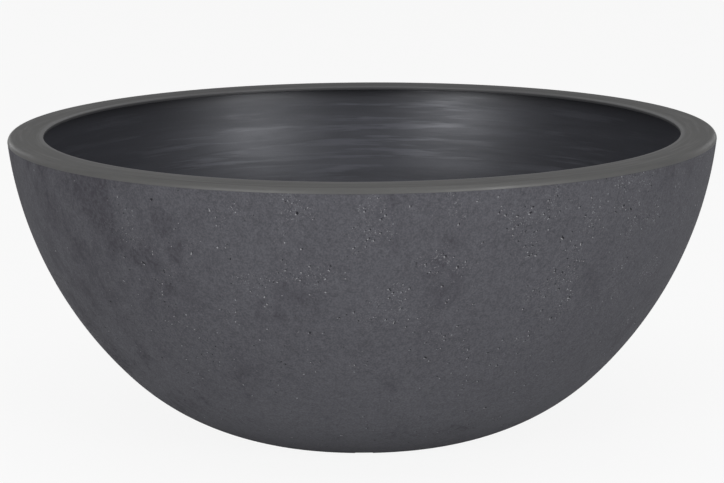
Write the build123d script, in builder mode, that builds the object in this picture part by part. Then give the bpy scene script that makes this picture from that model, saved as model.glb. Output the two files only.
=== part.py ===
from build123d import *
import os
from math import copysign, cos, radians, sin, sqrt

os.makedirs("parts", exist_ok=True)

# Bowl planter in mm, standing on z = 0 with the axis of the bowl on Z

# Outer form: two tangent arcs that meet at the belly
rim_radius = 250.0
height = 210.0
base_radius = 105.0
belly_radius = 171.0
belly_height = 41.0
belly_slope = 45.0
wall = 3.2

# Rim ring: a rounded outer corner, a crown that falls a little towards the mouth, and a lip
ring_width = 25.0
ring_corner = 4.0
crown_flat = 10.0
crown_fall = 0.5
flange_thickness = 2.4
lip_depth = 3.2
lip_wall = 2.4
lip_round = 1.0
lip_chamfer = 0.5
skirt_wall = 1.2

# Snap joint between the ring and the top edge of the shell
seat_clearance = 0.2
bead_height = 0.9
bead_width = 1.4
bead_drop = 1.0
hook_clearance = 0.2
hook_height = 0.7
hook_width = 1.1
finger_wall = 1.8
finger_tip = 0.3
finger_angle = 3.4
finger_count = 24

# Ribs under the flange, one between each two snap fingers
flange_rib_wall = 1.6
flange_rib_step = 0.6
flange_rib_depth = 3.0
weld = 0.5

# Floor: a raised middle inside a standing foot
foot_width = 7.5
floor_rise = 12.0
step_draft = 3.5
step_chamfer = 1.5
notch_count = 8
notch_width = 12.0
notch_depth = 1.4

# Ribs under the floor
floor_rib_count = 8
floor_rib_wall = 2.4
floor_rib_depth = 6.0
hub_radius = 15.0
hub_wall = 2.4

# Drain collars, which stand up inside the bowl so that some water stays below them
drain_count = 4
drain_circle = 120.0
drain_bore = 13.6
collar_wall = 2.6
collar_height = 12.0

# Push-in drain bungs
bung_clearance = 0.1
bung_grip = 10.0
bung_head_radius = 12.5
bung_head = 2.6
bung_core_radius = 3.6
bung_core_depth = 9.0
bung_chamfer = 1.2
tab_width = 12.0
tab_length = 5.0
tab_wall = 2.4
tab_round = 2.0
head_gap = 0.1

# Lift-out drainage grid on its legs; each ring of slots has slot_count more than the ring inside it
grid_thickness = 3.2
grid_wall_gap = 5.0
slot_width = 3.2
slot_count = 8
slot_rings = ((30.0, 18.0), (58.0, 26.0), (96.0, 34.0), (137.0, 30.0))
leg_count = 4
leg_circle = 172.0
leg_radius = 6.5
leg_wall = 1.8
leg_height = 24.0
brace_wall = 2.0
brace_depth = 8.0
brace_end_gap = 6.0
finger_hole_radius = 12.0

slope = radians(belly_slope)
up_wall = (sin(slope), cos(slope))
into_bowl = (-cos(slope), sin(slope))

mouth_radius = rim_radius - ring_width
shoulder_z = height - ring_corner
flange_z = height - flange_thickness
lip_z = height - lip_depth
skirt_radius = rim_radius - skirt_wall
tongue_radius = skirt_radius - seat_clearance
tongue_z = flange_z - seat_clearance
bead_z = tongue_z - bead_drop
floor_top = floor_rise + wall
foot_inner = base_radius - foot_width
collar_radius = drain_bore / 2 + collar_wall
grid_z = floor_top + leg_height


def belly_arc(end):
    """Centre and radius, as (r, z), of the arc that leaves the belly along its slope and ends at end."""
    dr = end[0] - belly_radius
    dz = end[1] - belly_height
    radius = (dr**2 + dz**2) / (2 * (dr * into_bowl[0] + dz * into_bowl[1]))
    return (belly_radius + radius * into_bowl[0], belly_height + radius * into_bowl[1]), radius


lower_arc = belly_arc((base_radius, 0))
upper_arc = belly_arc((rim_radius, shoulder_z))


def wall_radius(z, depth):
    """Radius at height z of the surface that lies depth inside the outer face of the wall."""
    belly_z = belly_height + depth * into_bowl[1]
    centre, radius = upper_arc if z > belly_z else lower_arc
    return centre[0] + copysign(sqrt((radius - depth) ** 2 - (z - centre[1]) ** 2), radius)


inner_belly = (belly_radius + wall * into_bowl[0], belly_height + wall * into_bowl[1])
bead_face = wall_radius(bead_z, wall)
bead_peak = bead_face - bead_height
finger_face = bead_peak - hook_clearance
finger_inner = finger_face - finger_wall

# Bowl shell
with BuildPart() as bowl_shell:
    with BuildSketch(Plane.XZ):
        with BuildLine():
            moat = (wall_radius(wall, wall), wall)
            moat_foot = (foot_inner + wall, wall)
            floor_edge = (foot_inner + wall - step_draft, floor_top)
            recess_edge = (foot_inner - step_draft, floor_rise)
            tongue_inner = (wall_radius(tongue_z, wall), tongue_z)
            TangentArc((belly_radius, belly_height), (base_radius, 0), tangent=(-up_wall[0], -up_wall[1]))
            TangentArc((belly_radius, belly_height), (rim_radius, shoulder_z), tangent=up_wall)
            Polyline(
                (rim_radius, shoulder_z),
                (tongue_radius, shoulder_z),
                (tongue_radius, tongue_z),
                tongue_inner,
            )
            TangentArc(inner_belly, tongue_inner, tangent=up_wall)
            TangentArc(inner_belly, moat, tangent=(-up_wall[0], -up_wall[1]))
            Polyline(moat, moat_foot, floor_edge, (0, floor_top), (0, floor_rise), recess_edge)
            Polyline(recess_edge, (foot_inner, 0), (base_radius, 0))
        make_face()
        with BuildLine():
            Polyline(
                (bead_face + weld, bead_z + bead_width / 2),
                (bead_face, bead_z + bead_width / 2),
                (bead_peak, bead_z),
                (bead_face, bead_z - bead_width / 2),
                (bead_face + weld, bead_z - bead_width / 2),
                close=True,
            )
        make_face()
    revolve(axis=Axis.Z)
    step_edges = bowl_shell.edges().filter_by(GeomType.CIRCLE).filter_by(
        lambda edge: edge.radius in (floor_edge[0], recess_edge[0])
    )
    chamfer(step_edges, length=step_chamfer)

    # Drain collars and their bores
    with BuildSketch(Plane.XY.offset(floor_rise)):
        with PolarLocations(drain_circle / 2, drain_count):
            Circle(collar_radius)
    extrude(amount=wall + collar_height)

    # Ribs and hub ring under the floor, clear of the ground
    rib_start = hub_radius - hub_wall + weld
    with BuildSketch(Plane.XY.offset(floor_rise - floor_rib_depth)):
        Circle(hub_radius)
        Circle(hub_radius - hub_wall, mode=Mode.SUBTRACT)
        with PolarLocations((rib_start + foot_inner) / 2, floor_rib_count, start_angle=180 / floor_rib_count):
            Rectangle(foot_inner - rib_start, floor_rib_wall)
    extrude(amount=floor_rib_depth + weld)

    with BuildSketch(Plane.XY):
        with PolarLocations(drain_circle / 2, drain_count):
            Circle(drain_bore / 2)
    extrude(amount=floor_top + collar_height, mode=Mode.SUBTRACT)

    # Notches that let drained water out from under the foot
    with BuildSketch(Plane.XY):
        with PolarLocations(base_radius - foot_width / 2, notch_count):
            Rectangle(3 * foot_width, notch_width)
    extrude(amount=notch_depth, mode=Mode.SUBTRACT)
bowl_shell.part.label = "bowl_shell"
export_step(bowl_shell.part, "parts/bowl_shell.step")

# Rim ring: flange, skirt and lip in one profile
with BuildPart() as rim_ring:
    with BuildSketch(Plane.XZ) as ring_profile:
        with BuildLine():
            crown = (rim_radius - ring_corner, height)
            lip_back = mouth_radius + lip_wall
            CenterArc((rim_radius - ring_corner, shoulder_z), ring_corner, 0, 90)
            Polyline(crown, (crown[0] - crown_flat, height), (mouth_radius, height - crown_fall))
            Polyline((mouth_radius, height - crown_fall), (mouth_radius, lip_z), (lip_back, lip_z))
            Polyline((lip_back, lip_z), (lip_back, flange_z), (skirt_radius, flange_z))
            Polyline((skirt_radius, flange_z), (skirt_radius, shoulder_z), (rim_radius, shoulder_z))
        make_face()
        lip_corners = ring_profile.vertices().sort_by(Axis.X)[:2].sort_by(Axis.Z)
        chamfer(lip_corners[0], length=lip_chamfer)
        fillet(lip_corners[1], radius=lip_round)
    revolve(axis=Axis.Z)

    # Snap fingers whose hooks catch under the bead inside the shell
    hook_top = bead_z - bead_width / 2 - hook_clearance
    finger_bottom = hook_top - hook_width - finger_tip
    with BuildSketch(Plane.XZ.rotated((0, 0, -finger_angle / 2))) as finger_profile:
        with BuildLine():
            Polyline(
                (finger_inner, flange_z + weld),
                (finger_face, flange_z + weld),
                (finger_face, hook_top),
                (finger_face + hook_height, hook_top - hook_width / 2),
                (finger_face, hook_top - hook_width),
                (finger_face, finger_bottom),
                (finger_inner, finger_bottom),
                close=True,
            )
        make_face()
    finger = revolve(axis=Axis.Z, revolution_arc=finger_angle, mode=Mode.PRIVATE)
    with PolarLocations(0, finger_count):
        add(finger)

    # Ribs from the lip back to the ring of fingers, between them so that they stay free to bend
    with BuildSketch(Plane.XZ):
        with BuildLine():
            Polyline(
                (lip_back - weld, flange_z + weld),
                (lip_back - weld, lip_z + flange_rib_step),
                (finger_inner + weld, flange_z - flange_rib_depth),
                (finger_inner + weld, flange_z + weld),
                close=True,
            )
        make_face()
    flange_rib = extrude(amount=flange_rib_wall / 2, both=True, mode=Mode.PRIVATE)
    with PolarLocations(0, finger_count, start_angle=180 / finger_count):
        add(flange_rib)
rim_ring.part.label = "rim_ring"
export_step(rim_ring.part, "parts/rim_ring.step")

# Drainage grid, a slotted disc that rests on the raised floor inside the bowl
grid_radius = wall_radius(grid_z, wall) - grid_wall_gap
with BuildPart() as drainage_grid:
    with BuildSketch(Plane.XY.offset(grid_z)):
        Circle(grid_radius)
        for number, (ring_radius, slot_length) in enumerate(slot_rings, 1):
            ring_count = slot_count * number
            with PolarLocations(ring_radius, ring_count, start_angle=180 / ring_count):
                Rectangle(slot_length, slot_width, mode=Mode.SUBTRACT)
        Circle(finger_hole_radius, mode=Mode.SUBTRACT)
    extrude(amount=grid_thickness)

    # Hollow legs
    with BuildSketch(Plane.XY.offset(floor_top)):
        with PolarLocations(leg_circle / 2, leg_count, start_angle=180 / leg_count):
            Circle(leg_radius)
            Circle(leg_radius - leg_wall, mode=Mode.SUBTRACT)
    extrude(amount=leg_height)

    # Tapered braces from the legs out to the edge
    with BuildSketch(Plane.XZ):
        with BuildLine():
            brace_start = leg_circle / 2 + leg_radius - leg_wall
            Polyline(
                (brace_start, grid_z + weld),
                (brace_start, grid_z - brace_depth),
                (grid_radius - brace_end_gap, grid_z),
                (grid_radius - brace_end_gap, grid_z + weld),
                close=True,
            )
        make_face()
    brace = extrude(amount=brace_wall / 2, both=True, mode=Mode.PRIVATE)
    with PolarLocations(0, leg_count, start_angle=180 / leg_count):
        add(brace)
drainage_grid.part.label = "drainage_grid"
export_step(drainage_grid.part, "parts/drainage_grid.step")


def drain_bung(number):
    """Soft bung pushed up into one drain collar, with its head in the recess under the floor."""
    spot = Vector(drain_circle / 2, 0).rotate(Axis.Z, 360 / drain_count * (number - 1))
    stem = drain_bore / 2 - bung_clearance
    head_top = floor_rise - head_gap
    head_bottom = head_top - bung_head
    tip = floor_rise + bung_grip
    with BuildPart() as bung:
        with BuildSketch(Plane(origin=spot, x_dir=(1, 0, 0), z_dir=(0, -1, 0))):
            with BuildLine():
                Polyline(
                    (bung_core_radius, tip),
                    (stem - bung_chamfer, tip),
                    (stem, tip - bung_chamfer),
                    (stem, head_top),
                    (bung_head_radius, head_top),
                    (bung_head_radius, head_bottom + bung_chamfer),
                    (bung_head_radius - bung_chamfer, head_bottom),
                    (0, head_bottom),
                    (0, tip - bung_core_depth),
                    (bung_core_radius, tip - bung_core_depth),
                    close=True,
                )
            make_face()
        revolve(axis=Axis(spot, (0, 0, 1)))

        # Pull tab, square to the radius so that fingers reach it from outside
        with BuildSketch(Plane(origin=spot, x_dir=(0, 1, 0), z_dir=(1, 0, 0))) as tab:
            with Locations((0, head_bottom - tab_length / 2)):
                Rectangle(tab_width, tab_length)
            fillet(tab.vertices().sort_by(Axis.Z)[:2], radius=tab_round)
        extrude(amount=tab_wall / 2, both=True)
    bung.part.label = f"drain_bung_{number}"
    export_step(bung.part, f"parts/drain_bung_{number}.step")


for number in range(1, drain_count + 1):
    drain_bung(number)
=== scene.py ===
# %% [markdown]
# # Dressing a bowl planter
# The frame holds the planter's pieces at their real size: a moulded bowl, the smooth ring
# that snaps on its edge, a drainage grid and four bungs. Here each piece gets the shape
# and the finish that a camera sees. Everything is in metres, with +Z up and the bowl
# standing on z = 0.

# %% Load the frame
from math import asin, cos, pi, radians, sin, tan, tau

import bmesh
import bpy
from mathutils import Matrix, Vector


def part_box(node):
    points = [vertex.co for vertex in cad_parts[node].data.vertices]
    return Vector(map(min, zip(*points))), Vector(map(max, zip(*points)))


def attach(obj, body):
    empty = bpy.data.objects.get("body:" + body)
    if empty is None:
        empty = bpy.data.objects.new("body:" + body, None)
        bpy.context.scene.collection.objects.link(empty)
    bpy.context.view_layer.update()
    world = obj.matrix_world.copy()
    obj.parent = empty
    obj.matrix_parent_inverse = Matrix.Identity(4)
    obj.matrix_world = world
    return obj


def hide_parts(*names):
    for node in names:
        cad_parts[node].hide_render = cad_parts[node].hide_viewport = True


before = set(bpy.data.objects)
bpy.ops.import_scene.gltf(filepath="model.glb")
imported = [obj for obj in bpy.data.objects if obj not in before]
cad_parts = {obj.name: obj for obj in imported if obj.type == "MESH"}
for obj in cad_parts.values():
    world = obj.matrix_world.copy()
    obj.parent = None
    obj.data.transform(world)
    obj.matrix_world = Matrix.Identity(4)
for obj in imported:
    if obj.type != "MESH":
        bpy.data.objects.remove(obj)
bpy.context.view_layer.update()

# %% [markdown]
# ## The main sizes
# The rim and the top come from the frame, so the dressed pieces can't grow past it. The
# other sizes are those of the moulding. A pack of solids keeps round walls as many flat
# facets, and a radius read from its box is the facets' own, which keeps us inside it.

# %% Sizes of the bowl
MM = 0.001
ring_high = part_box("rim_ring")[1]
grid_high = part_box("drainage_grid")[1]
bung_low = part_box("drain_bung_1")[0]

rim_radius = min(ring_high.x, ring_high.y)
mouth_radius = 225 * MM
top = ring_high.z
base_radius = 105 * MM
belly_radius = 171 * MM
belly_height = 41 * MM
belly_slope = radians(45)
wall = 3.2 * MM
ring_corner = 4 * MM
shoulder = top - ring_corner
print(f"rim {rim_radius / MM:.2f} mm, top {top / MM:.1f} mm")

# %% [markdown]
# ## The curve of the wall
# Seen from the side, the wall is two arcs that meet at the belly with one slope. Both
# start at the belly, so one small function finds either of them: the centre lies square
# to the slope, as far away as makes the arc pass through its other end. A surface inside
# the wall has the same centres and a smaller radius, so the wall has one thickness.

# %% Arcs of the wall
into_bowl = (-cos(belly_slope), sin(belly_slope))


def belly_arc(end):
    """Centre and radius of the arc that leaves the belly along its slope and ends at end."""
    dr, dz = end[0] - belly_radius, end[1] - belly_height
    radius = (dr**2 + dz**2) / (2 * (dr * into_bowl[0] + dz * into_bowl[1]))
    return belly_radius + radius * into_bowl[0], belly_height + radius * into_bowl[1], radius


def arc_points(arc, depth, low_z, high_z, steps):
    """Points (r, z) along one arc, depth inside the outer face, from low_z up to high_z."""
    centre_r, centre_z, radius = arc
    radius -= depth
    low_angle = asin((low_z - centre_z) / radius)
    high_angle = asin((high_z - centre_z) / radius)
    turns = [low_angle + (high_angle - low_angle) * i / steps for i in range(steps + 1)]
    return [(centre_r + radius * cos(t), centre_z + radius * sin(t)) for t in turns]


lower_arc = belly_arc((base_radius, 0))
upper_arc = belly_arc((rim_radius, shoulder))
lower_steps = 24
upper_steps = 44


def wall_curve(depth, low_z, high_z):
    """Points (r, z) of the surface depth inside the wall, from low_z up to high_z."""
    belly_z = belly_height + depth * into_bowl[1]
    below = arc_points(lower_arc, depth, low_z, belly_z, lower_steps) if low_z < belly_z else []
    above = arc_points(upper_arc, depth, max(low_z, belly_z), high_z, upper_steps)
    return below[:-1] + above


print(f"arcs of radius {lower_arc[2] / MM:.0f} and {upper_arc[2] / MM:.0f} mm")

# %% [markdown]
# ## Turning an outline
# The bowl, the ring, the collars and the bungs are all round, so they are made as a
# turner makes them: an outline in (r, z) is spun about an upright axis. A subdivided
# cylinder could be pushed into shape too, but then a fillet's size would be a guess.
# Moulded plastic has no knife edges, so `rounded` swaps each corner for a small arc.

# %% Outline and spinning helpers
def rounded(corners, steps=4):
    """Outline points from (r, z, radius) corners, each corner swapped for an arc."""
    points = []
    count = len(corners)
    for i, (r, z, radius) in enumerate(corners):
        here = Vector((r, z))
        before = Vector(corners[i - 1][:2]) - here
        after = Vector(corners[(i + 1) % count][:2]) - here
        if radius == 0 or before.length < 1e-9 or after.length < 1e-9:
            points.append((r, z))
            continue
        half = before.angle(after) / 2
        almost_half = 0.49 * min(before.length, after.length)
        cut = min(radius / abs(tan(half)), almost_half)
        start = here + before.normalized() * cut
        end = here + after.normalized() * cut
        for k in range(steps + 1):
            t = k / steps
            spot = start * (1 - t) ** 2 + here * 2 * t * (1 - t) + end * t**2
            points.append((spot.x, spot.y))
    return points


def spin(outline, marks=None, turns=256, axis=(0, 0)):
    """A closed mesh from a closed outline of (r, z) points; marks are material numbers."""
    verts, rings = [], []
    for r, z in outline:
        if r < 1e-7:
            rings.append([len(verts)] * turns)
            verts.append((axis[0], axis[1], z))
            continue
        rings.append([len(verts) + k for k in range(turns)])
        verts += [
            (axis[0] + r * cos(tau * k / turns), axis[1] + r * sin(tau * k / turns), z)
            for k in range(turns)
        ]
    faces, numbers = [], []
    for i, ring in enumerate(rings):
        beyond = rings[(i + 1) % len(rings)]
        if ring[0] == ring[1] and beyond[0] == beyond[1]:
            continue
        for k in range(turns):
            n = (k + 1) % turns
            loop = dict.fromkeys((ring[k], ring[n], beyond[n], beyond[k]))
            faces.append(tuple(loop))
            numbers.append(marks[i] if marks else 0)
    mesh = bpy.data.meshes.new("spun")
    mesh.from_pydata(verts, [], faces)
    mesh.polygons.foreach_set("material_index", numbers)
    return mesh


# %% [markdown]
# ## Putting a piece together
# A moulding often carries ribs and collars that run into its wall. They are made as
# closed meshes of their own which sink a little into what carries them, and `assemble`
# joins them into one object. Normals are smoothed over every edge that is softer than
# 35 degrees, which keeps the round walls round and the flat faces flat.

# %% Assembling and cutting helpers
softest_edge = radians(35)


def merged(name, meshes):
    """One mesh from several, with all its faces turned outwards."""
    shape = bmesh.new()
    for mesh in meshes:
        shape.from_mesh(mesh)
    bmesh.ops.recalc_face_normals(shape, faces=shape.faces)
    mesh = bpy.data.meshes.new(name)
    shape.to_mesh(mesh)
    shape.free()
    return mesh


def assemble(name, meshes, materials, body, node):
    """Adds an object from several meshes, which rides on a body and stands for a CAD node."""
    mesh = merged(name, meshes)
    mesh.polygons.foreach_set("use_smooth", [True] * len(mesh.polygons))
    mesh.set_sharp_from_angle(angle=softest_edge)
    for material in materials:
        mesh.materials.append(material)
    piece = bpy.data.objects.new(name, mesh)
    bpy.context.scene.collection.objects.link(piece)
    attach(piece, body)
    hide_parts(node)
    print(f"{name}: {len(mesh.polygons)} faces")


def evaluated_mesh(thing):
    """The mesh that an object has once its modifiers or its curve's settings are applied."""
    bpy.context.view_layer.update()
    graph = bpy.context.evaluated_depsgraph_get()
    return bpy.data.meshes.new_from_object(thing.evaluated_get(graph))


def carved(mesh, cutters):
    """The mesh with the cutter meshes taken out of it by a boolean."""
    blank = bpy.data.objects.new("blank", merged("blank", [mesh]))
    knife = bpy.data.objects.new("knife", merged("knife", cutters))
    for thing in (blank, knife):
        bpy.context.scene.collection.objects.link(thing)
    cut = blank.modifiers.new("cut", "BOOLEAN")
    cut.operation = "DIFFERENCE"
    cut.solver = "EXACT"
    cut.object = knife
    result = evaluated_mesh(blank)
    for thing in (blank, knife):
        bpy.data.objects.remove(thing)
    return result


def softened(name, shape, turn, soften):
    """The mesh of a shape with its edges softened, turned about the bowl's axis."""
    if soften:
        bmesh.ops.bevel(
            shape, geom=shape.edges[:], offset=soften, segments=2, profile=0.5, affect="EDGES"
        )
    bmesh.ops.rotate(shape, matrix=Matrix.Rotation(turn, 3, "Z"), verts=shape.verts)
    mesh = bpy.data.meshes.new(name)
    shape.to_mesh(mesh)
    shape.free()
    return mesh


def block(size, centre, turn=0.0, soften=0.0):
    """A box mesh of a size, turned about the bowl's axis."""
    shape = bmesh.new()
    bmesh.ops.create_cube(shape, size=1)
    bmesh.ops.scale(shape, vec=size, verts=shape.verts)
    bmesh.ops.translate(shape, vec=centre, verts=shape.verts)
    return softened("block", shape, turn, soften)


def plate(outline, thickness, turn, soften=0.0):
    """An upright plate cut to an outline of (r, z) points, turned about the bowl's axis."""
    shape = bmesh.new()
    verts = [shape.verts.new((r, -thickness / 2, z)) for r, z in outline]
    face = shape.faces.new(verts)
    grown = bmesh.ops.extrude_face_region(shape, geom=[face])["geom"]
    new_verts = [v for v in grown if isinstance(v, bmesh.types.BMVert)]
    bmesh.ops.translate(shape, vec=(0, thickness, 0), verts=new_verts)
    bmesh.ops.recalc_face_normals(shape, faces=shape.faces)
    return softened("plate", shape, turn, soften)


# %% [markdown]
# ## Shader arithmetic
# The finishes below are sums and products of patterns. Written out as nodes they would
# be long to read, so a small class wraps a socket and lets Python's operators add the
# Math nodes. Any other node comes from its one `node` method.

# %% A socket that can be used in sums
class Wire:
    """A node's output socket that works in Python arithmetic."""

    def __init__(self, socket):
        self.socket = socket

    def node(self, kind, settings=None, inputs=None, output=0):
        """Adds a node of a type, sets it up, then gives its sockets values or links."""
        tree = self.socket.id_data
        made = tree.nodes.new(kind)
        for name, value in (settings or {}).items():
            setattr(made, name, value)
        for name, value in (inputs or {}).items():
            if isinstance(value, Wire):
                tree.links.new(value.socket, made.inputs[name])
            else:
                made.inputs[name].default_value = value
        return Wire(made.outputs[output])

    def math(self, operation, first, second):
        return self.node("ShaderNodeMath", {"operation": operation}, {0: first, 1: second})

    def __add__(self, other):
        return self.math("ADD", self, other)

    def __sub__(self, other):
        return self.math("SUBTRACT", self, other)

    def __rsub__(self, other):
        return self.math("SUBTRACT", other, self)

    def __mul__(self, other):
        return self.math("MULTIPLY", self, other)

    def __gt__(self, other):
        return self.math("GREATER_THAN", self, other)

    def __abs__(self):
        return self.math("ABSOLUTE", self, 0)

    __radd__ = __add__
    __rmul__ = __mul__

    def fade(self, start, end):
        """0 up to start, 1 from end on, and smooth between them."""
        return self.node(
            "ShaderNodeMapRange",
            {"interpolation_type": "SMOOTHSTEP"},
            {"Value": self, "From Min": start, "From Max": end},
        )

    def vector(self, operation, inputs=None, output=0):
        """Vector maths whose first value is this one; inputs holds the others."""
        values = {0: self, **(inputs or {})}
        return self.node("ShaderNodeVectorMath", {"operation": operation}, values, output)

    def moved(self, shift=(0, 0, 0), stretch=(1, 1, 1)):
        """A vector stretched along X, Y and Z and then shifted, for a pattern of its own."""
        return self.vector("MULTIPLY", {1: stretch}).vector("ADD", {1: shift})

    def noise(self, scale, detail=2.0, roughness=0.5, distortion=0.0, output="Fac"):
        """Soft random cloud, from 0 to 1, with a cell of about 1 / scale metres."""
        return self.node(
            "ShaderNodeTexNoise",
            {"noise_dimensions": "3D"},
            {
                "Vector": self,
                "Scale": scale,
                "Detail": detail,
                "Roughness": roughness,
                "Distortion": distortion,
            },
            output,
        )

    def cells(self, scale, output):
        """Cells of about 1 / scale metres: their Distance to the middle, or a Color for each."""
        return self.node(
            "ShaderNodeTexVoronoi", {"feature": "F1"}, {"Vector": self, "Scale": scale}, output
        )

    def wobbled(self, scale, reach):
        """This place pushed about by up to about reach, so that round shapes turn ragged."""
        push = self.noise(scale, output="Color").vector("SUBTRACT", {1: (0.5, 0.5, 0.5)})
        return self.vector("ADD", {1: push.vector("SCALE", {3: 2 * reach})})

    def channel(self, which):
        return self.node("ShaderNodeSeparateXYZ", None, {0: self}, which)

    def mix(self, first, second):
        """A colour that is first where this is 0 and second where it is 1."""
        # Blender's Mix node keeps its colours on inputs 6 and 7 and their mix on output 2
        settings = {"data_type": "RGBA", "clamp_factor": True}
        return self.node("ShaderNodeMix", settings, {0: self, 6: first, 7: second}, 2)

    def tinted(self, dark, light):
        """A colour between dark, where this is 0, and light, where it is 1."""
        return self.mix((*dark, 1), (*light, 1))

    def over(self, below, colour):
        """The colour laid over another where this mask is 1."""
        return self.mix(below, (*colour, 1))


def new_finish(name, specular, specular_tint=(1, 1, 1)):
    """A material with one Principled shader, and the place that its patterns start from."""
    material = bpy.data.materials.new(name)
    material.use_nodes = True
    shader = material.node_tree.nodes["Principled BSDF"]
    shader.inputs["Specular IOR Level"].default_value = specular
    shader.inputs["Specular Tint"].default_value = (*specular_tint, 1)
    coordinates = material.node_tree.nodes.new("ShaderNodeTexCoord")
    return material, Wire(coordinates.outputs["Object"])


def feed(material, colour, roughness, height):
    """Links what varies over the surface: colour, roughness and a bump from heights in m."""
    tree = material.node_tree
    shader = tree.nodes["Principled BSDF"]
    bump = colour.node(
        "ShaderNodeBump", None, {"Strength": 1.0, "Distance": 1.0, "Height": height}
    )
    tree.links.new(colour.socket, shader.inputs["Base Color"])
    tree.links.new(roughness.socket, shader.inputs["Roughness"])
    tree.links.new(bump.socket, shader.inputs["Normal"])
    print(f"{material.name}: {len(tree.nodes)} nodes")


# %% [markdown]
# ## The stone look
# Outside, the plastic is moulded against a rough tool, so that it passes for cast stone:
# matte, blue-grey, finely grained, with dark smudges and small pits in clusters. Clouds,
# smudges and grain are noise at several scales. The pits are the sunk middles of cells,
# and a slow noise says where a cluster of them is. Each pit is painted as light and shade:
# a light copy a little to one side is a painted highlight, then a dark copy on top is painted
# shade, which leaves it a bright edge.
#
# The bowl in the photograph has more smudges on its left, and more pits near the rim and
# on its right. Fades along X and Z steer the patterns that way. One more is painted light:
# it lightens the wall towards the foot, standing in for the light the pale floor throws back.

# %% Stone-look finish
stone_dark = (0.052, 0.051, 0.060)
stone_light = (0.111, 0.112, 0.126)
stone_smudge = (0.046, 0.044, 0.054)
# colour of the painted highlights on pit edges, and of the stone's own light specks
speck_and_highlight_colour = (0.48, 0.48, 0.50)
# colour of the painted shade inside the pits
pit_shade_colour = (0.014, 0.013, 0.018)
small_cells = 400
large_cells = 150
highlight_shift = (0.9 * MM, 0, 0.6 * MM)

stone, place = new_finish("stone_look_wall", specular=0.28)
side = place.channel(0)
level = place.channel(2)
smudged_side = side.fade(-20 * MM, -190 * MM)
pitted_side = side.fade(-200 * MM, 160 * MM) * 0.5 + 0.5
pitted_level = level.fade(30 * MM, 170 * MM) * 0.9 + 0.1
busy_part = pitted_side * side.fade(-200 * MM, -140 * MM) * pitted_level
# painted light: the wall grows lighter towards the foot, as if lit by the floor below
painted_foot_bounce = level.fade(110 * MM, 0)

cloud_place = place.moved((3.1, 1.7, 0.4), stretch=(1, 1, 0.8))
clouds = cloud_place.noise(14, detail=8, roughness=0.66, distortion=0.3)
smear_place = place.moved((7.3, 2.9, 5.1), stretch=(1.3, 1.3, 0.8))
smears = smear_place.noise(16, detail=14, roughness=0.82)
blotches = place.moved((1.9, 0.8, 6.6)).noise(140, detail=3, roughness=0.6)
grain = place.noise(320, detail=2, roughness=0.6)
fine_grain = place.moved((4.0, 8.0, 2.0)).noise(820, detail=1, roughness=0.6)

tone = (
    clouds.fade(0.32, 0.68) * 0.09
    + blotches.fade(0.30, 0.70) * 0.10
    + grain.fade(0.28, 0.72) * 0.32
    + fine_grain.fade(0.28, 0.72) * 0.46
    # the painted light towards the foot is part of the tone
    + painted_foot_bounce * 0.36
)
smudge = (smears + smudged_side * 0.085).fade(0.53, 0.64) * (grain.fade(0.34, 0.62) * 0.75 + 0.25)
cluster_noise = place.moved((0.9, 6.3, 3.3)).noise(32, detail=4, roughness=0.65)
clusters = cluster_noise.fade(0.48, 0.63) * busy_part


def dents(spot, scale, size, threshold):
    """Ragged round dents, one to a cell, in the cells whose lot is above a threshold."""
    ragged = spot.wobbled(1.7 * scale, 0.5 / scale)
    lot = ragged.cells(scale, "Color").channel(0)
    return (size - ragged.cells(scale, "Distance")).fade(0.0, 0.06) * (lot > threshold)


small_threshold = 0.975 - clusters * 0.50
large_threshold = 0.965 - clusters * 0.22
# the pits again, shifted a little to one side, for their painted edge highlights
highlight_place = place.moved(highlight_shift)
pits = dents(place, small_cells, 0.22, small_threshold) + dents(
    place, large_cells, 0.18, large_threshold
)
pit_edge_highlights = dents(highlight_place, small_cells, 0.20, small_threshold) + dents(
    highlight_place, large_cells, 0.15, large_threshold
)
crumbs = place.noise(1100, detail=1).fade(0.60, 0.74) * clusters

colour = tone.tinted(stone_dark, stone_light)
colour = smudge.over(colour, stone_smudge)
# painted highlights on the pits' edges, plus light specks of the stone itself
colour = (pit_edge_highlights * 0.5 + crumbs * 0.30).over(colour, speck_and_highlight_colour)
# painted shade inside the pits, which are also real dents in the bump
colour = (pits * 0.95).over(colour, pit_shade_colour)
roughness = 0.74 + grain * 0.16 - smudge * 0.10
height = (
    clouds * (0.5 * MM)
    + grain * (0.22 * MM)
    + fine_grain * (0.10 * MM)
    - pits * (0.4 * MM)
)
feed(stone, colour, roughness, height)
print(f"pits in cells of {1 / small_cells / MM:.1f} and {1 / large_cells / MM:.1f} mm")

# %% [markdown]
# ## The smooth inside
# The inside is the polished side of the mould: darker, satin, and with long faint marks
# that run round the bowl, left by the turned core. The marks are noise that is stretched
# sideways, which is done by squeezing it in height. They change the gloss as well as the
# colour, because a mark shows mostly where light skims over it. As in the photograph,
# they fade towards the left and right ends, which is painted shade there, and a painted
# shadow darkens the wall below the lip.

# %% Inner wall finish
inner_dark = (0.021, 0.022, 0.029)
inner_light = (0.088, 0.090, 0.108)
# colour of the painted shadow under the lip
painted_shadow_colour = (0.016, 0.016, 0.021)

satin, place = new_finish("satin_inner_wall", specular=0.65, specular_tint=(0.94, 0.955, 1.0))
band_place = place.moved((0.3, 4.4, 0), stretch=(1, 1, 12))
bands = band_place.noise(6, detail=4, roughness=0.6, distortion=0.3)
streak_place = place.moved((2.3, 1.4, 0), stretch=(1, 1, 17))
streaks = streak_place.noise(13, detail=3, roughness=0.6).fade(0.50, 0.66)
patches = place.moved((6.1, 2.2, 0)).noise(7, detail=2).fade(0.42, 0.62)
dust = place.noise(700, detail=3, roughness=0.6)
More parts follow.
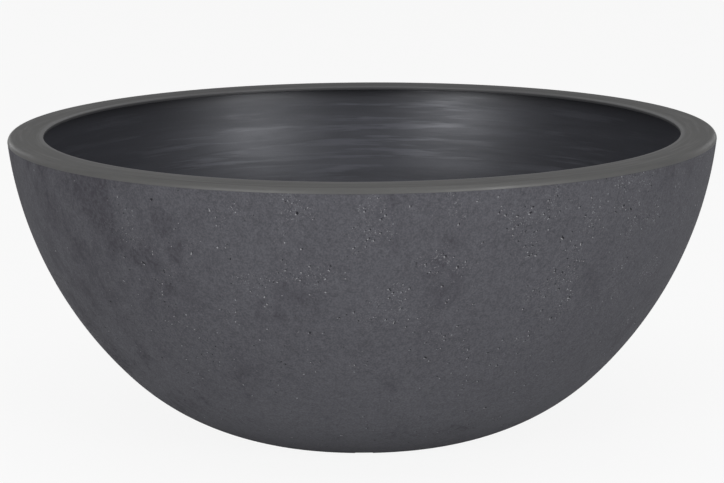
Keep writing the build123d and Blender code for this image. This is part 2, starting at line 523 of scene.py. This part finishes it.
# painted shade: the marks, and with them the wall's colour, fade towards the left and right ends
painted_light_toward_middle = abs(place.channel(0)).fade(210 * MM, 90 * MM) * 0.7 + 0.3
# painted shadow: the wall just below the lip is darkened
painted_lip_shadow = place.channel(2).fade(top - 18.5 * MM, top - 9 * MM)

marks = (bands.fade(0.36, 0.66) * 0.48 + streaks * (patches * 0.75 + 0.22)) * painted_light_toward_middle
colour = (marks * 0.85 + dust * 0.2).tinted(inner_dark, inner_light)
# painted shadow under the lip laid over the colour
colour = (painted_lip_shadow * 0.85).over(colour, painted_shadow_colour)
roughness = 0.43 - marks * 0.13 + dust * 0.06
height = bands * (0.20 * MM) + streaks * (0.05 * MM) + dust * (0.010 * MM)
feed(satin, colour, roughness, height)

# %% [markdown]
# ## The smooth ring
# The ring is moulded smooth, a little lighter and warmer than the wall, with a satin
# face that brightens where it is seen at a low angle. A slow tone, a fine orange-peel
# and sparse wiped marks keep it from looking like a computer's plastic. The wipes run
# round the ring, because their noise is laid out along radius and angle. The edge of the
# mouth gets a painted highlight. The lip's face and the far side get painted shade, as
# photographed.

# %% Ring finish
ring_dark = (0.070, 0.0695, 0.0690)
ring_light = (0.094, 0.0935, 0.0920)
# colour of the painted highlight along the mouth's edge
edge_highlight_colour = (0.17, 0.17, 0.175)
# colour of the painted shade on the lip's face and the far side
ring_painted_shade = (0.040, 0.040, 0.044)
wipe_stretch = 0.012

smooth, place = new_finish("smooth_ring", specular=0.5)
level = place.channel(2)
radius = place.moved(stretch=(1, 1, 0)).vector("LENGTH", output=1)
angle = place.math("ARCTAN2", place.channel(1), place.channel(0))
around = place.node("ShaderNodeCombineXYZ", None, {0: radius, 1: angle * wipe_stretch})
wipes = around.noise(300, detail=4, roughness=0.6)
slow_tone = place.noise(9, detail=4, roughness=0.55)
peel = place.noise(520, detail=2, roughness=0.5)
near_mouth = radius.fade(mouth_radius + 4 * MM, mouth_radius + 1.5 * MM)
# painted highlight along the mouth's rounded edge
painted_edge_highlight = near_mouth * level.fade(top - 1.8 * MM, top - 1.2 * MM)
# painted shade on the lip's face and on the far side of the ring
lip_face_painted_shade = near_mouth * level.fade(top - 1 * MM, top - 2 * MM)
far_side_painted_shade = place.channel(1).fade(80 * MM, 230 * MM)

tone = slow_tone.fade(0.3, 0.7) * 0.4 + peel * 0.2 + wipes.fade(0.35, 0.65) * 0.4
colour = tone.tinted(ring_dark, ring_light)
# painted highlight, then painted shade, laid over the ring's colour
colour = (painted_edge_highlight * 0.6).over(colour, edge_highlight_colour)
colour = (far_side_painted_shade * 0.55).over(colour, ring_painted_shade)
colour = (lip_face_painted_shade * 0.8).over(colour, ring_painted_shade)
roughness = 0.46 + slow_tone * 0.08 - wipes.fade(0.45, 0.70) * 0.08
height = slow_tone * (0.20 * MM) + peel * (0.010 * MM) + wipes * (0.02 * MM)
feed(smooth, colour, roughness, height)

# %% [markdown]
# ## The plastic of the grid and the rubber of the bungs
# Neither shows from outside. The grid is plain moulded plastic with a fine spark-eroded
# texture and some dulling from handling, and the bungs are soft matte rubber.

# %% Grid and bung finishes
grid_dark = (0.020, 0.020, 0.022)
grid_light = (0.036, 0.036, 0.038)

grid_plastic, place = new_finish("grid_plastic", specular=0.5)
etched = place.noise(900, detail=2, roughness=0.6)
handled = place.noise(22, detail=5, roughness=0.6)
dulled = handled.fade(0.35, 0.7)
colour = (dulled * 0.6 + etched * 0.4).tinted(grid_dark, grid_light)
roughness = 0.44 + dulled * 0.16
feed(grid_plastic, colour, roughness, etched * (0.020 * MM) + handled * (0.05 * MM))

rubber_dark = (0.012, 0.012, 0.012)
rubber_light = (0.030, 0.029, 0.028)

bung_rubber, place = new_finish("bung_rubber", specular=0.35)
bloom = place.noise(160, detail=5, roughness=0.65)
matte_grain = place.noise(1400, detail=2, roughness=0.5)
colour = bloom.fade(0.35, 0.75).tinted(rubber_dark, rubber_light)
roughness = 0.72 + bloom * 0.15
feed(bung_rubber, colour, roughness, bloom * (0.08 * MM) + matte_grain * (0.01 * MM))

# %% [markdown]
# ## The bowl
# One outline goes round the whole moulding: up the outside, over the edge that the ring
# grips, down the inside with its snap bead, round the gutter at the foot, and over the
# raised floor. Outside it is stone, and from the edge inwards it is satin.

# %% Bowl outline
flange_thickness = 2.4 * MM
seat_clearance = 0.2 * MM
skirt_wall = 1.2 * MM
bead_height = 0.9 * MM
bead_width = 1.4 * MM
bead_drop = 1 * MM
foot_width = 7.5 * MM
floor_rise = 12 * MM
floor_top = floor_rise + wall
step_draft = 3.5 * MM
step_round = 2 * MM
gutter_round = 1.2 * MM
foot_round = 0.8 * MM
foot_lift = 0.1 * MM
edge_round = 0.3 * MM

flange_z = top - flange_thickness
tongue_radius = rim_radius - skirt_wall - seat_clearance
tongue_z = flange_z - seat_clearance
bead_z = tongue_z - bead_drop
foot_inner = base_radius - foot_width

outside = wall_curve(0, foot_lift, shoulder - edge_round)
inside = wall_curve(wall, wall + edge_round, bead_z - bead_width / 2)
bead_face = inside[-1][0]
inner_top = wall_curve(wall, tongue_z - edge_round, tongue_z)[-1][0]
edge = rounded(
    [
        (rim_radius, shoulder - edge_round, 0),
        (rim_radius, shoulder, edge_round),
        (tongue_radius, shoulder, 0),
        (tongue_radius, tongue_z, edge_round),
        (inner_top, tongue_z, edge_round),
        (inner_top, bead_z + bead_width / 2, 0),
        (bead_face - bead_height, bead_z, edge_round),
        (bead_face, bead_z - bead_width / 2, 0),
    ]
)[1:-1]
gutter = rounded(
    [
        (inside[0][0], wall + edge_round, 0),
        (inside[0][0], wall, edge_round),
        (foot_inner + wall, wall, gutter_round),
        (foot_inner + wall - step_draft, floor_top, step_round),
        (0, floor_top, 0),
        (0, floor_rise, 0),
        (foot_inner - step_draft, floor_rise, step_round),
        (foot_inner, 0, foot_round),
        (base_radius, 0, foot_round),
    ],
    steps=6,
)[1:-1]
bowl_outline = outside + edge + inside[::-1] + gutter

stone_slot, satin_slot = 0, 1
satin_count = len(bowl_outline) - len(outside)
bowl_marks = [stone_slot] * len(outside) + [satin_slot] * satin_count
print(f"bowl outline has {len(bowl_outline)} points")

# %% [markdown]
# The floor has four drain holes with collars that stand up inside, so that some water
# stays below them, notches that let the drained water out from under the foot, and ribs
# that stiffen the floor from below. The holes and notches are cut by a boolean, which is
# simpler than steering a grid of faces round them. The collars and ribs are added after.

# %% Bowl
drain_count = 4
drain_circle = 60 * MM
drain_bore = 6.8 * MM
collar_wall = 2.6 * MM
collar_height = 12 * MM
notch_count = 8
notch_width = 12 * MM
notch_depth = 1.4 * MM
floor_rib_count = 8
floor_rib_wall = 2.4 * MM
floor_rib_depth = 6 * MM
hub_radius = 15 * MM
hub_wall = 2.4 * MM
sunk = 0.5 * MM
hairline = 0.05 * MM
overshoot = 1 * MM

drain_spots = [
    (drain_circle * cos(tau * k / drain_count), drain_circle * sin(tau * k / drain_count))
    for k in range(drain_count)
]
hole_outline = [
    (0, floor_rise - overshoot),
    (drain_bore + sunk, floor_rise - overshoot),
    (drain_bore + sunk, floor_top + overshoot),
    (0, floor_top + overshoot),
]
cutters = [spin(hole_outline, turns=48, axis=spot) for spot in drain_spots]
notch_size = (3 * foot_width, notch_width, 2 * notch_depth)
notch_centre = (base_radius - foot_width / 2, 0, 0)
for k in range(notch_count):
    cutters.append(block(notch_size, notch_centre, tau * k / notch_count))
bowl_parts = [carved(spin(bowl_outline, bowl_marks), cutters)]

collar_outline = rounded(
    [
        (drain_bore, floor_rise + hairline, edge_round),
        (drain_bore + collar_wall, floor_rise + hairline, 0),
        (drain_bore + collar_wall, floor_top + collar_height, edge_round),
        (drain_bore, floor_top + collar_height, edge_round),
    ]
)
hub_outline = rounded(
    [
        (hub_radius - hub_wall, floor_rise - floor_rib_depth, edge_round),
        (hub_radius, floor_rise - floor_rib_depth, edge_round),
        (hub_radius, floor_rise + sunk, 0),
        (hub_radius - hub_wall, floor_rise + sunk, 0),
    ]
)
collar_marks = [satin_slot] * len(collar_outline)
hub_marks = [satin_slot] * len(hub_outline)
bowl_parts += [spin(collar_outline, collar_marks, 64, spot) for spot in drain_spots]
bowl_parts.append(spin(hub_outline, hub_marks, 64))
rib_start = hub_radius - hub_wall / 2
rib_length = foot_inner - rib_start
for k in range(floor_rib_count):
    rib = block(
        (rib_length, floor_rib_wall, floor_rib_depth + sunk),
        (rib_start + rib_length / 2, 0, floor_rise - (floor_rib_depth - sunk) / 2),
        tau * (k + 0.5) / floor_rib_count,
        soften=edge_round,
    )
    rib.polygons.foreach_set("material_index", [satin_slot] * len(rib.polygons))
    bowl_parts.append(rib)
assemble("bowl", bowl_parts, [stone, satin], "planter", "bowl_shell")

# %% [markdown]
# ## The ring
# The ring sits on the bowl's edge with a rounded outer corner, so that the wall seems to
# turn over into it. Its top is flat outside and falls a little towards the mouth, which
# lets the two bands catch the light differently. Under the flange are radial ribs and a
# row of short fingers whose hooks catch under the bead.

# %% Ring
crown_flat = 10 * MM
crown_fall = 0.5 * MM
crown_round = 4 * MM
lip_depth = 3.2 * MM
lip_wall = 2.4 * MM
lip_round = 1 * MM
lip_tip_round = 0.5 * MM
hook_clearance = 0.2 * MM
hook_height = 0.7 * MM
hook_width = 1.1 * MM
finger_wall = 1.8 * MM
finger_tip = 0.3 * MM
finger_angle = radians(3.4)
finger_count = 24
flange_rib_wall = 1.6 * MM
flange_rib_depth = 3 * MM
flange_rib_step = 0.6 * MM
rib_soften = 0.15 * MM
corner_steps = 12

lip_z = top - lip_depth
lip_back = mouth_radius + lip_wall
skirt_radius = rim_radius - skirt_wall
corner = [
    (
        rim_radius - ring_corner + ring_corner * cos(pi / 2 * k / corner_steps),
        shoulder + ring_corner * sin(pi / 2 * k / corner_steps),
    )
    for k in range(corner_steps + 1)
]
rest_of_ring = rounded(
    [
        (rim_radius - ring_corner, top, 0),
        (rim_radius - ring_corner - crown_flat, top, crown_round),
        (mouth_radius, top - crown_fall, lip_round),
        (mouth_radius, lip_z, lip_tip_round),
        (lip_back, lip_z, edge_round),
        (lip_back, flange_z, edge_round),
        (skirt_radius, flange_z, edge_round),
        (skirt_radius, shoulder, edge_round / 2),
        (rim_radius, shoulder, edge_round / 2),
    ],
    steps=6,
)[1:]
ring_parts = [spin(corner + rest_of_ring, turns=320)]

finger_face = bead_face - bead_height - hook_clearance
finger_inner = finger_face - finger_wall
hook_top = bead_z - bead_width / 2 - hook_clearance
finger_outline = [
    (finger_inner, flange_z + sunk),
    (finger_face, flange_z + sunk),
    (finger_face, hook_top),
    (finger_face + hook_height, hook_top - hook_width / 2),
    (finger_face, hook_top - hook_width),
    (finger_face, hook_top - hook_width - finger_tip),
    (finger_inner, hook_top - hook_width - finger_tip),
]
finger_width = finger_angle * finger_face
rib_outline = [
    (lip_back - sunk, flange_z + sunk),
    (lip_back - sunk, lip_z + flange_rib_step),
    (finger_inner + sunk, flange_z - flange_rib_depth),
    (finger_inner + sunk, flange_z + sunk),
]
for k in range(finger_count):
    finger_turn = tau * k / finger_count
    rib_turn = tau * (k + 0.5) / finger_count
    ring_parts.append(plate(finger_outline, finger_width, finger_turn, rib_soften))
    ring_parts.append(plate(rib_outline, flange_rib_wall, rib_turn, rib_soften))
assemble("ring", ring_parts, [smooth], "planter", "rim_ring")

# %% [markdown]
# ## The drainage grid
# A flat moulding with slots is what Blender's filled 2D curves are good at: every closed
# line inside the outer circle becomes a hole, and the curve's bevel rounds all the edges
# at once. The legs are spun and the braces cut from plates, as before. A ring of slots is
# written as the radius of its middle and the length of its slots, in millimetres.

# %% Grid
grid_radius = min(grid_high.x, grid_high.y)
leg_height = 24 * MM
grid_z = floor_top + leg_height
grid_thickness = 3.2 * MM
slot_width = 3.2 * MM
slot_count = 8
slot_rings = ((30, 18), (58, 26), (96, 34), (137, 30))
finger_hole_radius = 12 * MM
leg_count = 4
leg_circle = 86 * MM
leg_radius = 6.5 * MM
leg_wall = 1.8 * MM
brace_wall = 2 * MM
brace_depth = 8 * MM
brace_end_gap = 6 * MM
brace_soften = 0.2 * MM


def closed_line(curve, points):
    """Adds a closed straight-run line to a curve object's data."""
    line = curve.splines.new("POLY")
    line.points.add(len(points) - 1)
    for spot, (x, y) in zip(line.points, points):
        spot.co = (x, y, 0, 1)
    line.use_cyclic_u = True


def ring_of_points(radius, steps):
    return [(radius * cos(tau * k / steps), radius * sin(tau * k / steps)) for k in range(steps)]


def slot_points(middle, length, width, turn, end_steps=8):
    """A round-ended slot that lies along a radius of the grid."""
    points = []
    reach = (length - width) / 2
    for end, start in ((1, -pi / 2), (-1, pi / 2)):
        for k in range(end_steps + 1):
            t = start + pi * k / end_steps
            points.append((middle + end * reach + width / 2 * cos(t), width / 2 * sin(t)))
    return [(x * cos(turn) - y * sin(turn), x * sin(turn) + y * cos(turn)) for x, y in points]


disc_curve = bpy.data.curves.new("disc", "CURVE")
disc_curve.dimensions = "2D"
disc_curve.fill_mode = "BOTH"
disc_curve.bevel_depth = edge_round
disc_curve.bevel_resolution = 2
disc_curve.offset = -edge_round
disc_curve.extrude = grid_thickness / 2 - edge_round
closed_line(disc_curve, ring_of_points(grid_radius, steps=192))
closed_line(disc_curve, ring_of_points(finger_hole_radius, steps=48))
for number, (middle, length) in enumerate(slot_rings, 1):
    count = slot_count * number
    for k in range(count):
        turn = tau * (k + 0.5) / count
        closed_line(disc_curve, slot_points(middle * MM, length * MM, slot_width, turn))
disc_object = bpy.data.objects.new("disc", disc_curve)
bpy.context.scene.collection.objects.link(disc_object)
disc = evaluated_mesh(disc_object)
disc.transform(Matrix.Translation((0, 0, grid_z + grid_thickness / 2)))
bpy.data.objects.remove(disc_object)
disc.materials.clear()
print(f"grid disc with {len(disc_curve.splines) - 2} slots")

leg_outline = rounded(
    [
        (leg_radius - leg_wall, floor_top, edge_round),
        (leg_radius, floor_top, edge_round),
        (leg_radius, grid_z + sunk, 0),
        (leg_radius - leg_wall, grid_z + sunk, 0),
    ]
)
brace_outline = [
    (leg_circle + leg_radius - leg_wall, grid_z + sunk),
    (leg_circle + leg_radius - leg_wall, grid_z - brace_depth),
    (grid_radius - brace_end_gap, grid_z),
    (grid_radius - brace_end_gap, grid_z + sunk),
]
grid_parts = [disc]
for k in range(leg_count):
    turn = tau * (k + 0.5) / leg_count
    spot = (leg_circle * cos(turn), leg_circle * sin(turn))
    grid_parts.append(spin(leg_outline, turns=40, axis=spot))
    grid_parts.append(plate(brace_outline, brace_wall, turn, brace_soften))
assemble("grid", grid_parts, [grid_plastic], "grid", "drainage_grid")

# %% [markdown]
# ## The bungs
# Each bung is a short hollow stem with a wide head and a tab to pull. Spun with soft
# corners it reads as rubber, which never has a sharp edge.

# %% Bungs
bung_clearance = 0.1 * MM
bung_grip = 10 * MM
bung_chamfer = 1.2 * MM
bung_head_radius = 12.5 * MM
bung_head = 2.6 * MM
head_gap = 0.1 * MM
core_radius = 3.6 * MM
core_depth = 9 * MM
tip_round = 0.5 * MM
head_round = 0.8 * MM
tab_width = 12 * MM
tab_wall = 2.4 * MM
tab_round = 2 * MM
tab_soften = 0.4 * MM

bung_stem = drain_bore - bung_clearance
bung_tip = floor_rise + bung_grip
head_edge = bung_head_radius - hairline
head_top = floor_rise - head_gap
head_bottom = head_top - bung_head
core_floor = bung_tip - core_depth
bung_outline = rounded(
    [
        (core_radius, bung_tip, tip_round),
        (bung_stem - bung_chamfer, bung_tip, tip_round),
        (bung_stem, bung_tip - bung_chamfer, tip_round),
        (bung_stem, head_top, 0.2 * MM),
        (head_edge, head_top, 0.4 * MM),
        (head_edge, head_bottom + bung_chamfer, head_round),
        (bung_head_radius - bung_chamfer, head_bottom, head_round),
        (0, head_bottom, 0),
        (0, core_floor, 0),
        (core_radius, core_floor, tip_round),
    ]
)
tab_outline = rounded(
    [
        (-tab_width / 2, head_bottom + sunk, 0),
        (-tab_width / 2, bung_low.z, tab_round),
        (tab_width / 2, bung_low.z, tab_round),
        (tab_width / 2, head_bottom + sunk, 0),
    ]
)
for number, spot in enumerate(drain_spots, 1):
    tab = plate(tab_outline, tab_wall, pi / 2, tab_soften)
    tab.transform(Matrix.Translation((*spot, 0)))
    assemble(
        f"bung_{number}",
        [spin(bung_outline, turns=56, axis=spot), tab],
        [bung_rubber],
        f"bung_{number}",
        f"drain_bung_{number}",
    )

# %% [markdown]
# ## Floor and background
# The bowl stands on a plain pale floor that runs on to the horizon, so the background is
# the floor. It has to look white to the camera and still hold the bowl's shadow, so its
# material is part plain white glow, for camera rays only, and part ordinary matte paint.

# %% Floor
floor_reach = 14
floor_drop = 0.3 * MM
floor_grey = 0.86
glow_share = 0.89

corners = ((-1, -1), (1, -1), (1, 1), (-1, 1))
floor_mesh = bpy.data.meshes.new("floor")
floor_mesh.from_pydata(
    [(x * floor_reach, y * floor_reach, -floor_drop) for x, y in corners], [], [(0, 1, 2, 3)]
)
floor = bpy.data.objects.new("floor", floor_mesh)
bpy.context.scene.collection.objects.link(floor)

paint = bpy.data.materials.new("floor_paint")
paint.use_nodes = True
tree = paint.node_tree
tree.nodes.clear()
rays = Wire(tree.nodes.new("ShaderNodeLightPath").outputs["Is Camera Ray"])
matte = rays.node("ShaderNodeBsdfDiffuse", None, {"Color": (floor_grey,) * 3 + (1,)})
glow = rays.node("ShaderNodeEmission", None, {"Color": (1, 1, 1, 1), "Strength": 1.0})
mixed = rays.node("ShaderNodeMixShader", None, {0: rays * glow_share, 1: matte, 2: glow})
output = tree.nodes.new("ShaderNodeOutputMaterial")
tree.links.new(mixed.socket, output.inputs["Surface"])
floor_mesh.materials.append(paint)
print(f"floor {2 * floor_reach} m across, {floor_drop / MM:.1f} mm below the foot")

# %% [markdown]
# ## Light
# The photograph's light is soft and even, as between large white screens. A pale world
# gives most of it. Two tall soft lamps in front, one on each side, show as the two broad
# bright patches on the inner wall, and a wide one overhead lights the ring's flat top.
# Two weak ones behind add a faint sheen to that top, which is seen at a low angle. The
# background is white, but only to the camera. To the bowl it is grey.

# %% World and lamps
studio_level = 0.33

world = bpy.data.worlds.new("studio")
bpy.context.scene.world = world
world.use_nodes = True
tree = world.node_tree
sky = tree.nodes["Background"]
rays = Wire(tree.nodes.new("ShaderNodeLightPath").outputs["Is Camera Ray"])
seen = rays.tinted((studio_level,) * 3, (1, 1, 1))
tree.links.new(seen.socket, sky.inputs["Color"])


def soft_lamp(name, spot, size, watts, aim=(0, 0, 0.14)):
    """Adds a rectangular soft lamp at a spot, facing the middle of the bowl."""
    data = bpy.data.lights.new(name, "AREA")
    data.shape = "RECTANGLE"
    data.size, data.size_y = size
    data.energy = watts
    lamp = bpy.data.objects.new(name, data)
    bpy.context.scene.collection.objects.link(lamp)
    lamp.location = spot
    lamp.rotation_euler = (Vector(aim) - Vector(spot)).to_track_quat("-Z", "Y").to_euler()
    print(f"{name}: {watts} W")


soft_lamp("right_screen", (1.9, -2.3, 0.80), (1.0, 1.2), 35)
soft_lamp("left_screen", (-1.7, -2.4, 0.80), (0.9, 1.2), 31)
soft_lamp("overhead_screen", (-0.1, -0.5, 2.6), (2.4, 2.4), 17)
soft_lamp("back_left_screen", (-1.9, 3.0, 0.75), (1.2, 0.9), 5)
soft_lamp("back_right_screen", (1.9, 3.0, 0.75), (1.2, 0.9), 4)

# %% [markdown]
# ## Camera
# The photograph's perspective was worked out from the bowl's own outline: the camera
# stands seven rim radii in front of the axis, half a millimetre to its left and a little
# over one rim radius above the rim, and looks down by about eleven degrees. The rim's
# ellipse leans a little in the photograph, so the camera is rolled by a third of a degree.

# %% Camera
view_distance = 7 * rim_radius
view_side = -0.5 * MM
view_height = top + 1.046 * rim_radius
view_pitch = 0.1942
view_roll = radians(-0.36)
focal_pixels = 2485.05
image_width = 724
sensor_width = 36

camera_data = bpy.data.cameras.new("photo_view")
camera_data.sensor_width = sensor_width
camera_data.lens = sensor_width * focal_pixels / image_width
camera_data.clip_end = 60
camera = bpy.data.objects.new("photo_view", camera_data)
bpy.context.scene.collection.objects.link(camera)
camera.location = (view_side, -view_distance, view_height)
tilt = Matrix.Rotation(pi / 2 - view_pitch, 3, "X") @ Matrix.Rotation(view_roll, 3, "Z")
camera.rotation_euler = tilt.to_euler()
bpy.context.scene.camera = camera
bpy.context.scene.view_settings.view_transform = "Standard"
print(f"lens {camera_data.lens:.1f} mm")
